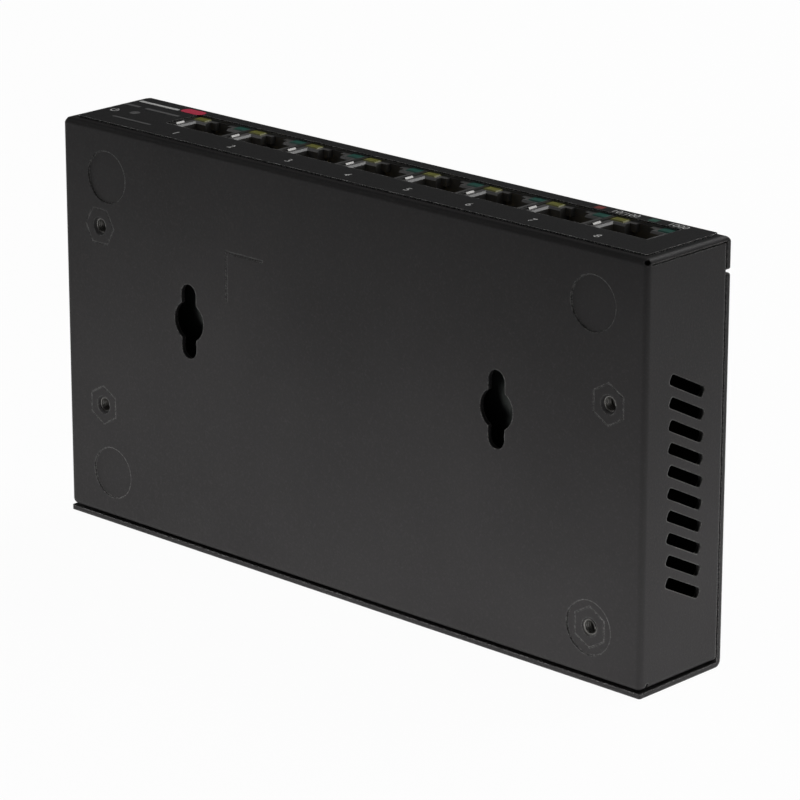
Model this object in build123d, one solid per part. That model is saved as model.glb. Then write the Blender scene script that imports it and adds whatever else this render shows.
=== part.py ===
from build123d import *
from math import sqrt
import os

# Every piece is drawn lying flat: X runs along the front panel from left to right, Y runs
# from the front panel to the rear wall, and Z runs up from the underside. The last section
# turns the finished pieces so that the switch stands on its rear wall with the ports up.
# All sizes are in millimetres.

# Case; its width follows from the port row and the margins beside it, and its height
# from the jacks on the board and the headroom over them
case_depth = 86.0
sheet = 1.0
seam = 0.35
side_bend = 1.1
front_bend = 1.2
cover_bend = 1.4
corner_seam = 0.25
corner_relief = 0.55

# Front return flange and the cover that meets it
flange_depth = 6.6
flange_gap = 0.7
flange_corner = 0.5
tongue_width = 14.0
tongue_reach = 4.0
tongue_spacing = 92.0
tongue_clearance = 0.15
tongue_headroom = 1.65

# Rear ears of the tray and the cover screws
ear_width = 9.0
ear_bend = 1.2
ear_relief = 0.8
ear_screw_inset = 4.8
cover_screw_height = 12.0
cover_screw_thread = 2.5
cover_screw_head = 4.4
cover_screw_length = 5.0
cover_screw_drive = 2.6
screw_play = 0.1
head_sink = 0.03

# Underside
foot_diameter = 11.0
foot_recess = 0.35
foot_side_inset = 13.0
foot_front_inset = 10.7
foot_rear_inset = 11.1
keyhole_spacing = 84.3
keyhole_from_front = 36.7
keyhole_head = 8.4
keyhole_slot = 4.2
keyhole_length = 15.8
mark_length = 10.6
mark_width = 0.45
mark_depth = 0.12
mark_from_middle = 31.3
mark_from_front = 19.6

# Side vents
vent_count = 10
vent_pitch = 4.46
vent_width = 2.15
vent_length = 11.0
vent_corner = 0.7
vent_lean = 26.5
vent_from_front = 46.75
vent_height = 12.1

# Printed front film
film = 0.3
film_side_inset = 2.1
film_bottom_inset = 2.3
film_top_inset = 1.1
film_corner = 0.6
film_lip_bottom = 1.6
film_lip_top = 0.25

# Circuit board and its fixings
board_thickness = 1.6
board_side_gap = 3.5
board_front_gap = 2.5
board_rear_gap = 4.0
board_corner = 1.5
standoff_height = 6.0
standoff_hex = 7.2
standoff_barrel = 5.4
standoff_thread = 3.0
standoff_mouth = 0.45
hex_gap = 0.12
board_screw_length = 6.0
board_screw_head = 5.4
board_screw_head_height = 1.9
board_screw_crown = 0.9
board_screw_drive = 3.0
standoff_side_inset = 10.6
standoff_front_y = 21.5
standoff_rear_y = 60.4
standoff_right_inset = 8.9
standoff_right_y = 29.5
standoff_turn = 30

# Port row
port_count = 8
port_pitch = 16.15
row_left_margin = 20.15
row_right_margin = 8.65
jack_gap = 0.25
jack_height = 11.6
jack_depth = 16.4
shield = 0.25
shield_rim = 0.3
shield_floor_rim = 0.6
shield_fit = 0.05
window_gap = 0.2
finger_height = 2.2
finger_length = 5.0
finger_low = 4.1
finger_root = 0.1

# Plug socket in each jack
socket_width = 11.9
socket_height = 6.8
socket_floor = 1.4
socket_depth = 12.0
socket_chamfer = 0.4
latch_width = 6.2
latch_height = 1.6
latch_depth = 8.0
catch_width = 3.4
catch_height = 1.1
catch_lip = 1.6

# Port lamps
lamp_width = 3.5
lamp_height = 2.3
lamp_top_gap = 0.35
lamp_side_gap = 0.35
lamp_length = 11.0
lamp_recess = 0.1
lamp_fit = 0.05
lamp_bevel = 0.25

# Port contacts
contact_count = 8
contact_pitch = 1.02
contact_width = 0.4
contact_thickness = 0.3
contact_slot_gap = 0.1
contact_nose = 1.9
contact_end = 9.6
contact_tip_height = 3.7
contact_tail = 13.6
contact_run_height = 0.55

# Parts on the board
chip_width = 14.0
chip_thickness = 0.9
chip_corner = 0.3
chip_x = 6.0
chip_y = 6.0
sink_width = 24.0
sink_height = 8.0
sink_base = 2.0
sink_fin = 1.2
sink_fin_count = 7
magnetics_count = 4
magnetics_width = 15.0
magnetics_depth = 9.4
magnetics_height = 5.9
magnetics_gap = 3.6
magnetics_edge = 0.5
capacitor_count = 3
capacitor_diameter = 6.3
capacitor_height = 7.7
capacitor_base = 1.0
capacitor_round = 0.5
capacitor_pitch = 9.0
capacitor_x = -36.0
capacitor_y = 24.0
inductor_width = 7.3
inductor_height = 4.4
inductor_cap = 5.6
inductor_corner = 1.2
inductor_groove = 0.5
inductor_x = -24.0
inductor_y = 8.0
crystal_length = 11.0
crystal_width = 4.6
crystal_height = 3.6
crystal_foot = 0.5
crystal_x = 30.0
crystal_y = 6.0

# Power inlet
inlet_left_inset = 24.0
inlet_width = 9.0
inlet_depth = 14.0
inlet_flange = 3.4
inlet_axis_height = 6.5
inlet_bore = 6.3
inlet_bore_depth = 10.5
inlet_collar = 8.0
inlet_pin = 2.1
inlet_pin_round = 0.4
inlet_pin_short = 0.8
inlet_hole_gap = 0.2
inlet_wall_gap = 0.2
inlet_spring_width = 2.0
inlet_spring_thickness = 0.3
inlet_spring_gap = 0.05
inlet_spring_start = 2.0

# Power lamp
power_lamp_left_inset = 8.7
power_lamp_height = 12.4
power_lamp_diameter = 3.0
power_lamp_dome = 1.2
power_lamp_length = 4.5
power_lamp_flange = 3.8
power_lamp_flange_depth = 1.0
power_lamp_gap = 0.1
power_lead = 0.5
power_lead_spacing = 2.54
power_lead_run = 1.2
holder_width = 5.2
holder_depth = 4.6
holder_crown = 2.6
holder_corner = 0.9

# Places worked out from the sizes above
case_width = row_left_margin + port_count * port_pitch + row_right_margin
half_width = case_width / 2
front = -case_depth / 2
rear = case_depth / 2
tray_rear = rear - sheet - seam
flange_end = front + flange_depth
cover_front = flange_end + flange_gap
board_bottom = sheet + standoff_height
board_top = board_bottom + board_thickness
board_half = half_width - sheet - board_side_gap
board_front = front + sheet + board_front_gap
board_rear = tray_rear - board_rear_gap
jack_half = (port_pitch - jack_gap) / 2
jack_top = board_top + jack_height
case_height = jack_top + tongue_headroom + sheet + tongue_clearance + sheet
side_top = case_height - sheet - seam
jack_back = front + jack_depth
row_left = -half_width + row_left_margin
row_right = half_width - row_right_margin
window_half = jack_half - shield_rim
housing_half = jack_half - shield - shield_fit
housing_front = front + shield + shield_fit
housing_back = jack_back - shield - shield_fit
housing_top = jack_top - shield - shield_fit
socket_half = socket_width / 2
socket_bottom = board_top + socket_floor
socket_top = socket_bottom + socket_height
latch_top = socket_top + latch_height
catch_top = latch_top + catch_height
finger_bottom = board_top + finger_low
lamp_top = jack_top - lamp_top_gap
foot_x = half_width - foot_side_inset
foot_front = front + foot_front_inset
foot_rear = rear - foot_rear_inset
screw_x = half_width - ear_screw_inset
screw_taper = (cover_screw_head - cover_screw_thread) / 2
inlet_x = -half_width + inlet_left_inset
power_lamp_x = -half_width + power_lamp_left_inset
inlet_front = rear - sheet - inlet_wall_gap
inlet_axis = board_top + inlet_axis_height
inlet_mouth = rear - inlet_wall_gap
inlet_bore_end = inlet_mouth - inlet_bore_depth
standoff_places = [
    (-half_width + standoff_side_inset, front + standoff_front_y, 0, 0),
    (-half_width + standoff_side_inset, front + standoff_rear_y, standoff_turn, 0),
    (half_width - standoff_right_inset, front + standoff_right_y, standoff_turn, 0),
    (foot_x, foot_rear, standoff_turn, foot_recess),
]


def span(x0, x1, y0, y1, z0, z1):
    """Box between two opposite corners."""
    middle = Pos((x0 + x1) / 2, (y0 + y1) / 2, (z0 + z1) / 2)
    return middle * Box(x1 - x0, y1 - y0, z1 - z0)


def post(x, y, z0, z1, radius):
    """Upright cylinder between two heights."""
    return Pos(x, y, (z0 + z1) / 2) * Cylinder(radius, z1 - z0)


def rod(x, y0, y1, z, radius):
    """Cylinder along Y between two depths."""
    return Pos(x, (y0 + y1) / 2, z) * Rot(90, 0, 0) * Cylinder(radius, y1 - y0)


def side_profile(points, x0, x1):
    """Prism along X from an outline given as depth and height pairs."""
    outline = Plane.YZ.offset(x0) * make_face(Polyline(*points, close=True))
    return extrude(outline, x1 - x0)


def round_edges(solid, edges, radius):
    """Fillet, left out where a fold has no inside radius."""
    if radius <= 0:
        return solid
    return fillet(edges, radius)


def group(solids):
    """Separate solids that share one name."""
    return Compound(children=[part.solid() for part in solids])


def port_centre(number):
    """Middle of a port, counted from 0 at the left."""
    return row_left + port_pitch * (number + 0.5)


# Base tray: underside, two sides, front panel, front return flange and two rear ears


def tray_block(wall):
    """Outer form of the closed tray, shrunk on all sides by one wall."""
    block = span(
        -half_width + wall,
        half_width - wall,
        front + wall,
        tray_rear - wall,
        wall,
        case_height - wall,
    )
    upright = block.edges().filter_by(Axis.Z).group_by(Axis.Y)[-1]
    block = round_edges(block, upright, ear_bend - wall)
    along_y = block.edges().filter_by(Axis.Y).group_by(Axis.Z)[0]
    block = round_edges(block, along_y, side_bend - wall)
    along_x = block.edges().filter_by(Axis.X).group_by(Axis.Y)[0]
    return round_edges(block, along_x, front_bend - wall)


def side_wall_form(front_gap, top_gap, reach):
    """Side wall outline behind the front panel and under its return flange."""
    form = span(
        half_width - 2 * sheet,
        half_width + sheet,
        front + sheet + front_gap,
        cover_front + reach,
        front_bend - reach,
        case_height - sheet - top_gap,
    )
    corner = form.edges().filter_by(Axis.X).group_by(Axis.Y)[0].sort_by(Axis.Z)[-1]
    return round_edges(form, corner, front_bend - sheet)


def side_seam():
    """Gap between the right side wall, the front panel and the return flange."""
    return side_wall_form(0, 0, 0) - side_wall_form(corner_seam, seam, sheet)


def corner_hole():
    """Bend relief where the underside, the right side and the front panel meet."""
    inset = front_bend / 2
    corner = Plane(
        origin=(half_width - inset, front + inset, inset),
        z_dir=(1, -1, -1),
    )
    return corner * Cylinder(corner_relief, 3 * front_bend)


def keyhole(x):
    """Wall-hanging hole: a screw head circle with a slot on both sides."""
    y = front + keyhole_from_front
    slot = Pos(x, y, -sheet) * Rot(0, 0, 90) * SlotOverall(keyhole_length, keyhole_slot)
    return extrude(slot, 3 * sheet) + post(x, y, -sheet, 2 * sheet, keyhole_head / 2)


def hex_prism(x, y, turn, z0, z1, flats):
    """Upright hexagon between two heights, turned about its middle."""
    outline = Pos(x, y, z0) * RegularPolygon(flats / 2, 6, major_radius=False, rotation=turn)
    return extrude(outline, z1 - z0)


def vent_slots():
    """Leaning slots, cut through both sides at once."""
    middle = front + vent_from_front
    plane = Plane.YZ.offset(-case_width)
    slots = []
    for number in range(vent_count):
        y = middle + (number - (vent_count - 1) / 2) * vent_pitch
        place = Pos(y, vent_height) * Rot(0, 0, 90 - vent_lean)
        slot = plane * place * RectangleRounded(vent_length, vent_width, vent_corner)
        slots.append(extrude(slot, 2 * case_width))
    return slots


def make_base_tray():
    tray = tray_block(0) - tray_block(sheet)
    beyond = case_width
    open_top = span(-beyond, beyond, flange_end, beyond, side_top, beyond)
    between_ears = span(
        -half_width + ear_width,
        half_width - ear_width,
        tray_rear - sheet - ear_bend,
        rear,
        sheet,
        beyond,
    )
    ear_foot = sheet + 2 * ear_relief
    under_ears = span(
        -half_width + ear_bend,
        half_width - ear_bend,
        tray_rear - sheet - ear_bend,
        rear,
        sheet,
        ear_foot,
    )
    ear_notch = span(-beyond, beyond, tray_rear - ear_bend, rear, ear_foot - ear_relief, ear_foot)
    tray -= open_top + between_ears
    tray -= under_ears
    tray -= ear_notch
    seam_right = side_seam()
    tray -= seam_right
    tray -= mirror(seam_right, about=Plane.YZ)
    flange_corners = [
        edge
        for edge in tray.edges().filter_by(Axis.Z)
        if abs(edge.center().Y - flange_end) < seam / 10 and edge.center().Z > side_top
    ]
    tray = fillet(flange_corners, flange_corner)
    relief_right = corner_hole()
    tray -= relief_right
    tray -= mirror(relief_right, about=Plane.YZ)
    tray -= span(
        row_left - window_gap,
        row_right + window_gap,
        front - sheet,
        front + 2 * sheet,
        board_top - window_gap,
        jack_top + window_gap,
    )
    tray -= rod(
        power_lamp_x,
        front - sheet,
        front + 2 * sheet,
        power_lamp_height,
        power_lamp_diameter / 2 + power_lamp_gap,
    )
    for side in (-1, 1):
        tray -= keyhole(side * keyhole_spacing / 2)
        tray -= post(side * foot_x, foot_front, -sheet, foot_recess, foot_diameter / 2)
        tray -= post(side * foot_x, foot_rear, -sheet, foot_recess, foot_diameter / 2)
        tray -= rod(
            side * screw_x,
            tray_rear - 2 * sheet,
            rear,
            cover_screw_height,
            (cover_screw_thread + screw_play) / 2,
        )
    for x, y, turn, level in standoff_places:
        tray -= hex_prism(x, y, turn, -sheet, 2 * sheet, standoff_hex + hex_gap)
    mark_x = -mark_from_middle
    mark_y = front + mark_from_front
    tray -= span(mark_x, mark_x + mark_length, mark_y, mark_y + mark_width, -sheet, mark_depth)
    tray -= span(mark_x, mark_x + mark_width, mark_y, mark_y + mark_length, -sheet, mark_depth)
    for slot in vent_slots():
        tray -= slot
    return tray


# Cover: top and rear wall in one fold, with two tongues that hook under the front flange


def screw_cone(x, play):
    """Countersink or countersunk head in the rear wall."""
    cone = Cone(
        cover_screw_head / 2 + play,
        cover_screw_thread / 2 + play,
        screw_taper,
    )
    return Pos(x, rear - screw_taper / 2, cover_screw_height) * Rot(90, 0, 0) * cone


def make_top_cover():
    block = span(-half_width, half_width, cover_front, rear, 0, case_height)
    outer_edge = block.edges().filter_by(Axis.X).group_by(Axis.Y)[-1].sort_by(Axis.Z)[-1]
    block = round_edges(block, outer_edge, cover_bend)
    hollow = span(
        -case_width,
        case_width,
        cover_front - sheet,
        rear - sheet,
        -sheet,
        case_height - sheet,
    )
    inner_edge = hollow.edges().filter_by(Axis.X).group_by(Axis.Y)[-1].sort_by(Axis.Z)[-1]
    cover = block - round_edges(hollow, inner_edge, cover_bend - sheet)
    cover = fillet(cover.edges().filter_by(Axis.Z).group_by(Axis.Y)[0], flange_corner)
    cover = fillet(cover.edges().filter_by(Axis.Y).group_by(Axis.Z)[0], flange_corner)
    tongue_top = case_height - sheet - tongue_clearance
    tongue_points = [
        (cover_front + sheet, case_height),
        (cover_front, case_height),
        (flange_end, tongue_top),
        (flange_end - tongue_reach, tongue_top),
        (flange_end - tongue_reach, tongue_top - sheet),
        (flange_end, tongue_top - sheet),
        (cover_front, case_height - sheet),
        (cover_front + sheet, case_height - sheet),
    ]
    for side in (-1, 1):
        middle = side * tongue_spacing / 2
        cover += side_profile(tongue_points, middle - tongue_width / 2, middle + tongue_width / 2)
        cover -= screw_cone(side * screw_x, screw_play / 2)
        cover -= rod(
            side * screw_x,
            rear - 2 * sheet,
            rear,
            cover_screw_height,
            (cover_screw_thread + screw_play) / 2,
        )
    cover -= rod(
        inlet_x,
        rear - 2 * sheet,
        rear + sheet,
        inlet_axis,
        inlet_collar / 2 + inlet_hole_gap,
    )
    return cover


def cross_recess(depth, size):
    """Cross drive, pointing down from Z = 0."""
    bar = Pos(0, 0, -depth / 2) * Box(size, size / 4, depth)
    return bar + Rot(0, 0, 90) * bar


def make_cover_screws():
    screws = []
    for side in (-1, 1):
        x = side * screw_x
        shank = rod(
            x,
            rear - cover_screw_length,
            rear - screw_taper / 2,
            cover_screw_height,
            cover_screw_thread / 2,
        )
        screw = screw_cone(x, 0) + shank
        drive = Rot(-90, 0, 0) * cross_recess(screw_taper, cover_screw_drive)
        screw -= Pos(x, rear, cover_screw_height) * drive
        screws.append(Pos(0, -head_sink, 0) * screw)
    return group(screws)


# Front film with the long port window


def make_front_film():
    skin = span(
        -half_width + film_side_inset,
        half_width - film_side_inset,
        front - film,
        front,
        film_bottom_inset,
        case_height - film_top_inset,
    )
    skin = fillet(skin.edges().filter_by(Axis.Y), film_corner)
    return skin - span(
        row_left,
        row_right,
        front - 2 * film,
        front + film,
        board_top + film_lip_bottom,
        jack_top - film_lip_top,
    )


# Circuit board, standoffs and board screws


def make_circuit_board():
    board = span(-board_half, board_half, board_front, board_rear, board_bottom, board_top)
    board = fillet(board.edges().filter_by(Axis.Z), board_corner)
    for x, y, turn, level in standoff_places:
        board -= post(x, y, board_bottom - sheet, board_top + sheet, standoff_thread / 2 + screw_play)
    return board


def make_board_standoffs():
    standoffs = []
    for x, y, turn, level in standoff_places:
        body = hex_prism(x, y, turn, level, sheet, standoff_hex)
        body += post(x, y, sheet, board_bottom, standoff_barrel / 2)
        body -= post(x, y, level - sheet, board_top, standoff_thread / 2)
        mouth = Cone(
            standoff_thread / 2 + standoff_mouth,
            standoff_thread / 2,
            standoff_mouth,
        )
        standoffs.append(body - Pos(x, y, level + standoff_mouth / 2) * mouth)
    return group(standoffs)


def make_board_screws():
    screws = []
    for x, y, turn, level in standoff_places:
        head = post(x, y, board_top, board_top + board_screw_head_height, board_screw_head / 2)
        head = fillet(head.edges().group_by(Axis.Z)[-1], board_screw_crown)
        shank = post(x, y, board_top - board_screw_length, board_top, (standoff_thread - screw_play) / 2)
        drive = cross_recess(board_screw_head_height / 2, board_screw_drive)
        top = board_top + board_screw_head_height
        screws.append(head + shank - Pos(x, y, top) * drive)
    return group(screws)


# Jacks: metal shield, moulded housing, spring contacts and two lamps for each port


def finger_outline(side, root, wall, clearance):
    """Plan outline of one earth finger, or of its recess when clearance is given."""
    slope = window_half - root + wall * sqrt(2) + clearance
    inner = socket_half - clearance
    outer = socket_half + wall + clearance
    tip = front + finger_length + clearance
    points = [
        (window_half + root, front),
        (window_half - root - clearance, front),
        (inner, front + window_half - root - inner - clearance),
        (inner, tip),
        (outer, tip),
        (outer, front + slope - outer),
        (slope - wall, front + wall),
        (window_half + root, front + wall),
    ]
    return [(side * x, y) for x, y in points]


def finger(x, side, clearance):
    outline = make_face(Polyline(*finger_outline(side, finger_root, shield, clearance), close=True))
    low = finger_bottom - clearance
    placed = Pos(x, 0, low) * outline
    solid = extrude(placed, finger_height + 2 * clearance, dir=(0, 0, 1))
    return solid


def make_jack_shield(number):
    x = port_centre(number)
    can = span(x - jack_half, x + jack_half, front, jack_back, board_top, jack_top)
    can -= span(
        x - jack_half + shield,
        x + jack_half - shield,
        front + shield,
        jack_back - shield,
        board_top - sheet,
        jack_top - shield,
    )
    can -= span(
        x - window_half,
        x + window_half,
        front - sheet,
        front + 2 * shield,
        board_top + shield_floor_rim,
        jack_top - shield_rim,
    )
    return can + finger(x, -1, 0) + finger(x, 1, 0)


def lamp_form(x, side, gap):
    """Port lamp in an upper corner of the jack, or its pocket when gap is given."""
    far = x + side * (jack_half - lamp_side_gap)
    near = far - side * lamp_width
    y0 = front + lamp_recess
    return span(
        min(near, far) - gap,
        max(near, far) + gap,
        y0 - gap,
        y0 + lamp_length + gap,
        lamp_top - lamp_height - gap,
        lamp_top + gap,
    )


def make_lamps(side):
    lamps = []
    for number in range(port_count):
        lamp = lamp_form(port_centre(number), side, 0)
        lamps.append(chamfer(lamp.faces().sort_by(Axis.Y)[0].edges(), lamp_bevel))
    return group(lamps)


def contact_x(x, index):
    return x + (index - (contact_count - 1) / 2) * contact_pitch


def make_jack_housing(number):
    x = port_centre(number)
    body = span(x - housing_half, x + housing_half, housing_front, housing_back, board_top, housing_top)
    socket = span(
        x - socket_half,
        x + socket_half,
        housing_front - sheet,
        front + socket_depth,
        socket_bottom,
        socket_top,
    )
    mouth_height = socket_height + 2 * socket_chamfer
    mouth_place = Pos(x, housing_front, (socket_bottom + socket_top) / 2) * Rot(-90, 0, 0)
    mouth_sketch = mouth_place * Rectangle(socket_width + 2 * socket_chamfer, mouth_height)
    mouth = extrude(mouth_sketch, socket_chamfer, taper=45)
    latch = span(
        x - latch_width / 2,
        x + latch_width / 2,
        housing_front - sheet,
        front + latch_depth,
        socket_top - sheet,
        latch_top,
    )
    catch = span(
        x - catch_width / 2,
        x + catch_width / 2,
        housing_front - sheet,
        front + latch_depth,
        latch_top - sheet,
        catch_top,
    )
    catch_pocket = span(
        x - latch_width / 2,
        x + latch_width / 2,
        housing_front + catch_lip,
        front + latch_depth,
        latch_top - sheet,
        catch_top,
    )
    body -= socket + mouth
    body -= latch + catch + catch_pocket
    for side in (-1, 1):
        body -= lamp_form(x, side, lamp_fit)
        body -= lamp_form(x, side, lamp_fit).moved(Location((0, -lamp_length / 2, 0)))
        body -= finger(x, side, shield_fit)
    slot_half = contact_width / 2 + contact_slot_gap
    for index in range(contact_count):
        middle = contact_x(x, index)
        body -= span(
            middle - slot_half,
            middle + slot_half,
            front + contact_nose - 2 * contact_thickness,
            front + contact_tail + contact_thickness,
            board_top - sheet,
            socket_bottom,
        )
    return body


def make_jack_contacts(number):
    """Eight bent spring contacts that rise through the comb in the socket floor."""
    x = port_centre(number)
    t = contact_thickness
    tail = front + contact_tail
    nose = front + contact_nose
    end = front + contact_end
    run = board_top + contact_run_height
    tip = board_top + contact_tip_height
    points = [
        (tail, board_top),
        (tail - t, board_top),
        (tail - t, run),
        (nose, run),
        (nose - t, run + t),
        (nose, run + 2 * t),
        (end, tip),
        (end + t / 2, tip - t),
        (nose + 1.5 * t, run + t),
        (tail, run + t),
    ]
    wires = []
    for index in range(contact_count):
        middle = contact_x(x, index)
        wires.append(side_profile(points, middle - contact_width / 2, middle + contact_width / 2))
    return group(wires)


# Parts on the board


def make_switch_chip():
    half = chip_width / 2
    body = span(
        chip_x - half,
        chip_x + half,
        chip_y - half,
        chip_y + half,
        board_top,
        board_top + chip_thickness,
    )
    return chamfer(body.edges().filter_by(Axis.Z), chip_corner)


def make_heat_sink():
    bottom = board_top + chip_thickness
    half = sink_width / 2
    sink = span(chip_x - half, chip_x + half, chip_y - half, chip_y + half, bottom, bottom + sink_height)
    gap = (sink_width - sink_fin) / (sink_fin_count - 1) - sink_fin
    for index in range(sink_fin_count - 1):
        left = chip_x - half + sink_fin + index * (sink_fin + gap)
        sink -= span(
            left,
            left + gap,
            chip_y - sink_width,
            chip_y + sink_width,
            bottom + sink_base,
            bottom + 2 * sink_height,
        )
    return sink


def make_magnetics():
    """Transformer modules in a row behind the jacks."""
    spacing = port_pitch * port_count / magnetics_count
    y0 = jack_back + magnetics_gap
    modules = []
    for index in range(magnetics_count):
        x = row_left + spacing * (index + 0.5)
        module = span(
            x - magnetics_width / 2,
            x + magnetics_width / 2,
            y0,
            y0 + magnetics_depth,
            board_top,
            board_top + magnetics_height,
        )
        modules.append(chamfer(module.faces().sort_by(Axis.Z)[-1].edges(), magnetics_edge))
    return group(modules)


def make_capacitors():
    """Electrolytic cans on their square feet."""
    cans = []
    half = capacitor_diameter / 2
    for index in range(capacitor_count):
        x = capacitor_x + index * capacitor_pitch
        foot = span(
            x - half,
            x + half,
            capacitor_y - half,
            capacitor_y + half,
            board_top,
            board_top + capacitor_base,
        )
        can = post(x, capacitor_y, board_top + capacitor_base, board_top + capacitor_height, half)
        can = fillet(can.edges().group_by(Axis.Z)[-1], capacitor_round)
        cans.append(foot + can)
    return group(cans)


def make_inductor():
    half = inductor_width / 2
    body = span(
        inductor_x - half,
        inductor_x + half,
        inductor_y - half,
        inductor_y + half,
        board_top,
        board_top + inductor_height,
    )
    body = chamfer(body.edges().filter_by(Axis.Z), inductor_corner)
    top = board_top + inductor_height
    groove = post(inductor_x, inductor_y, top - inductor_groove, top + sheet, half)
    groove -= post(inductor_x, inductor_y, top - sheet, top + sheet, inductor_cap / 2)
    return body - groove


def make_crystal():
    place = Pos(crystal_x, crystal_y, board_top)
    foot = extrude(place * SlotOverall(crystal_length, crystal_width), crystal_foot)
    inner_width = crystal_width - 2 * crystal_foot
    can = extrude(place * SlotOverall(crystal_length - 2 * crystal_foot, inner_width), crystal_height)
    return foot + can


# Power inlet: body, centre pin and side spring


def make_inlet_body():
    half = inlet_width / 2
    back = inlet_front - inlet_depth
    body = span(inlet_x - half, inlet_x + half, back, inlet_front, board_top, inlet_axis)
    body += rod(inlet_x, back, inlet_front, inlet_axis, half)
    body += span(
        inlet_x - half,
        inlet_x + half,
        inlet_front - inlet_flange,
        inlet_front,
        board_top,
        inlet_axis + half,
    )
    body += rod(inlet_x, inlet_front, inlet_mouth, inlet_axis, inlet_collar / 2)
    body -= rod(inlet_x, inlet_bore_end, inlet_mouth + sheet, inlet_axis, inlet_bore / 2)
    spring_half = inlet_spring_width / 2 + inlet_spring_gap
    floor = inlet_axis - inlet_bore / 2 - inlet_spring_thickness
    body -= span(
        inlet_x - spring_half,
        inlet_x + spring_half,
        inlet_bore_end,
        inlet_mouth - inlet_spring_start,
        floor,
        inlet_axis,
    )
    return body


def make_inlet_pin():
    reach = inlet_mouth - inlet_pin_short
    pin = rod(inlet_x, inlet_bore_end, reach, inlet_axis, inlet_pin / 2)
    return fillet(pin.edges().group_by(Axis.Y)[-1], inlet_pin_round)


def make_inlet_spring():
    """Side contact: a strip on the bore floor, bowed towards the pin at mid length."""
    half = inlet_spring_width / 2
    floor = inlet_axis - inlet_bore / 2 - inlet_spring_thickness
    y0 = inlet_bore_end
    y1 = inlet_mouth - inlet_spring_start - inlet_spring_gap
    bow = inlet_spring_thickness
    points = [
        (y0, floor),
        (y1 - bow, floor),
        (y1, floor + bow),
        (y1, floor + 2 * bow),
        (y1 - 2 * bow, floor + bow),
        (y0, floor + bow),
    ]
    return side_profile(points, inlet_x - half, inlet_x + half)


# Power lamp behind the film, its leads and its holder


def make_power_lamp():
    tip = front + power_lamp_gap
    back = tip + power_lamp_length
    radius = power_lamp_diameter / 2
    lamp = rod(power_lamp_x, tip, back, power_lamp_height, radius)
    lamp = fillet(lamp.edges().group_by(Axis.Y)[0], power_lamp_dome)
    flange = rod(
        power_lamp_x,
        back,
        back + power_lamp_flange_depth,
        power_lamp_height,
        power_lamp_flange / 2,
    )
    return lamp + flange


def make_power_lamp_leads():
    start = front + power_lamp_gap + power_lamp_length + power_lamp_flange_depth
    end = start + power_lead_run
    half = power_lead / 2
    points = [
        (start, power_lamp_height - half),
        (end - power_lead, power_lamp_height - half),
        (end - power_lead, board_top),
        (end, board_top),
        (end, power_lamp_height + half),
        (start, power_lamp_height + half),
    ]
    leads = []
    for side in (-1, 1):
        x = power_lamp_x + side * power_lead_spacing / 2
        leads.append(side_profile(points, x - half, x + half))
    return group(leads)


def make_lamp_holder():
    half = holder_width / 2
    top = power_lamp_height + holder_crown
    back = board_front + holder_depth
    seat = front + power_lamp_gap + power_lamp_length
    holder = span(power_lamp_x - half, power_lamp_x + half, board_front, back, board_top, top)
    holder = chamfer(holder.edges().filter_by(Axis.Y).group_by(Axis.Z)[-1], holder_corner)
    holder -= rod(
        power_lamp_x,
        board_front - sheet,
        back + sheet,
        power_lamp_height,
        power_lamp_diameter / 2 + power_lamp_gap,
    )
    pocket = power_lamp_flange / 2 + power_lamp_gap
    holder -= rod(power_lamp_x, seat, back + sheet, power_lamp_height, pocket)
    return holder - span(
        power_lamp_x - pocket,
        power_lamp_x + pocket,
        seat + power_lamp_flange_depth,
        back + sheet,
        board_top - sheet,
        power_lamp_height,
    )


# Pieces by name, turned to stand on the rear wall


def make_pieces():
    pieces = {
        "base_tray": make_base_tray(),
        "top_cover": make_top_cover(),
        "cover_screws": make_cover_screws(),
        "front_film": make_front_film(),
        "circuit_board": make_circuit_board(),
        "board_standoffs": make_board_standoffs(),
        "board_screws": make_board_screws(),
        "left_port_lamps": make_lamps(-1),
        "right_port_lamps": make_lamps(1),
        "switch_chip": make_switch_chip(),
        "heat_sink": make_heat_sink(),
        "magnetics_modules": make_magnetics(),
        "capacitors": make_capacitors(),
        "power_inductor": make_inductor(),
        "crystal": make_crystal(),
        "inlet_body": make_inlet_body(),
        "inlet_pin": make_inlet_pin(),
        "inlet_spring": make_inlet_spring(),
        "power_lamp": make_power_lamp(),
        "power_lamp_leads": make_power_lamp_leads(),
        "power_lamp_holder": make_lamp_holder(),
    }
    for number in range(port_count):
        pieces[f"jack_shield_{number + 1}"] = make_jack_shield(number)
        pieces[f"jack_housing_{number + 1}"] = make_jack_housing(number)
        pieces[f"jack_contacts_{number + 1}"] = make_jack_contacts(number)
    return pieces


def main():
    os.makedirs("parts", exist_ok=True)
    upright = Pos(0, -case_height / 2, case_depth / 2) * Rot(-90, 0, 0)
    for name, piece in make_pieces().items():
        export_step(upright * piece, f"parts/{name}.step")


main()
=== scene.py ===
from math import cos, pi, radians, sin

import bmesh
import bpy
from mathutils import Euler, Matrix, Vector


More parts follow.
